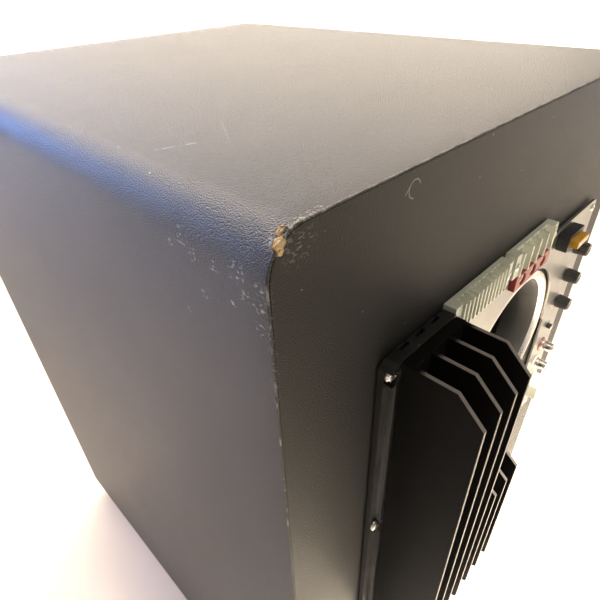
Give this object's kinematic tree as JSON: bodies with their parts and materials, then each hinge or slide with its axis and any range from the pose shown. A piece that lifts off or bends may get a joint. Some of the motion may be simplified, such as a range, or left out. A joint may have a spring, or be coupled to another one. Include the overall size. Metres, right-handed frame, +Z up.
{
  "type": "powered car subwoofer",
  "caption": "Powered car subwoofer: a vinyl-covered reflex box with a grilled woofer in front and a finned amplifier, controls and port in the rear board.",
  "frame": {"origin": "on the ground, under the middle of the object's bounding box", "axes": "+Z up, -Y out of the woofer's side, +Y out of the amplifier's side, +X to the right seen from the woofer's side"},
  "size_m": [0.356, 0.4844, 0.545],
  "materials": {
    "black_vinyl": "grained, semi-gloss",
    "vinyl_board": "MDF faced with grained black vinyl",
    "mdf": "raw",
    "rubber": "matte",
    "foam": "closed-cell foam",
    "black_steel": "satin powder coat",
    "steel": "zinc plated",
    "ferrite": "ground",
    "cone_paper": "matte, coated",
    "cap": "satin",
    "spider_cloth": "resin-dipped weave",
    "copper": "enamelled winding",
    "silver_trim": "satin silver",
    "port_black": "matte",
    "black_aluminium": "black anodised, satin",
    "black_paint": "textured black",
    "brushed_plate": "brushed",
    "pale_nylon": "moulded",
    "red_plastic": "moulded",
    "nickel": "nickel plate",
    "black_plastic": "moulded",
    "fuse_plastic": "moulded",
    "zinc_sheet": "zinc plated sheet",
    "board_green": "solder mask",
    "capacitor_sleeve": "shrink sleeve",
    "screw_black": "black zinc",
    "screw_zinc": "bright zinc"
  },
  "bodies": {
    "cabinet": {"left_side_panel": "mdf", "right_side_panel": "mdf", "top_panel": "mdf", "bottom_panel": "mdf", "vinyl_wrap": "black_vinyl", "front_baffle": "vinyl_board", "rear_panel": "vinyl_board", "foot_1": "rubber", "foot_2": "rubber", "foot_3": "rubber", "foot_4": "rubber", "woofer_basket": "black_steel", "surround": "rubber", "spider": "spider_cloth", "magnet_top_plate": "steel", "magnet_ring": "ferrite", "magnet_yoke": "steel", "woofer_terminal": "black_plastic", "grille_ring": "black_steel", "grille_mesh": "black_steel", "woofer_screw_1": "screw_black", "woofer_screw_2": "screw_black", "woofer_screw_3": "screw_black", "woofer_screw_4": "screw_black", "woofer_screw_5": "screw_black", "woofer_screw_6": "screw_black", "woofer_screw_7": "screw_black", "woofer_screw_8": "screw_black", "port_trim_ring": "silver_trim", "port_tube": "port_black", "amp_gasket": "foam", "amp_frame": "black_paint", "heat_sink": "black_aluminium", "amp_screw_1": "screw_zinc", "amp_screw_2": "screw_zinc", "amp_screw_3": "screw_zinc", "connector_plate": "brushed_plate", "terminal_strip": "pale_nylon", "link_block": "pale_nylon", "power_terminal": "red_plastic", "rca_socket_1": "nickel", "rca_socket_2": "nickel", "level_socket": "pale_nylon", "fuse_holder": "black_plastic", "amp_chassis": "zinc_sheet", "circuit_board": "board_green", "toroid_coil": "copper", "capacitor_1": "capacitor_sleeve", "capacitor_2": "capacitor_sleeve", "speaker_lead": "rubber"},
    "cone_assembly": {"cone": "cone_paper", "dust_cap": "cap", "voice_coil": "copper"},
    "gain_knob": {"gain_knob": "black_plastic"},
    "crossover_knob": {"crossover_knob": "black_plastic"},
    "bass_knob": {"bass_knob": "black_plastic"},
    "phase_switch": {"phase_switch": "black_plastic"},
    "fuse": {"fuse": "fuse_plastic"}
  },
  "joints": [
    {"name": "cone_excursion", "type": "slide", "parent": "cabinet", "child": "cone_assembly", "axis": [0, -1, 0], "range_m": [-0.007, 0.007], "stiffness_N_per_m": 4000, "deforming": ["surround", "spider"]},
    {"name": "gain_turn", "type": "hinge", "parent": "cabinet", "child": "gain_knob", "pos_m": [-0.1205, 0.19975, 0.42], "axis": [0, 1, 0], "range_deg": [-140, 140]},
    {"name": "crossover_turn", "type": "hinge", "parent": "cabinet", "child": "crossover_knob", "pos_m": [-0.1205, 0.19975, 0.395], "axis": [0, 1, 0], "range_deg": [-140, 140]},
    {"name": "bass_turn", "type": "hinge", "parent": "cabinet", "child": "bass_knob", "pos_m": [-0.1205, 0.19975, 0.37], "axis": [0, 1, 0], "range_deg": [-140, 140]},
    {"name": "phase_slide", "type": "slide", "parent": "cabinet", "child": "phase_switch", "axis": [-1, 0, 0], "range_m": [0, 0.004]},
    {"name": "fuse_pull", "type": "slide", "parent": "cabinet", "child": "fuse", "axis": [0, 1, 0], "range_m": [0, 0.012]}
  ]
}
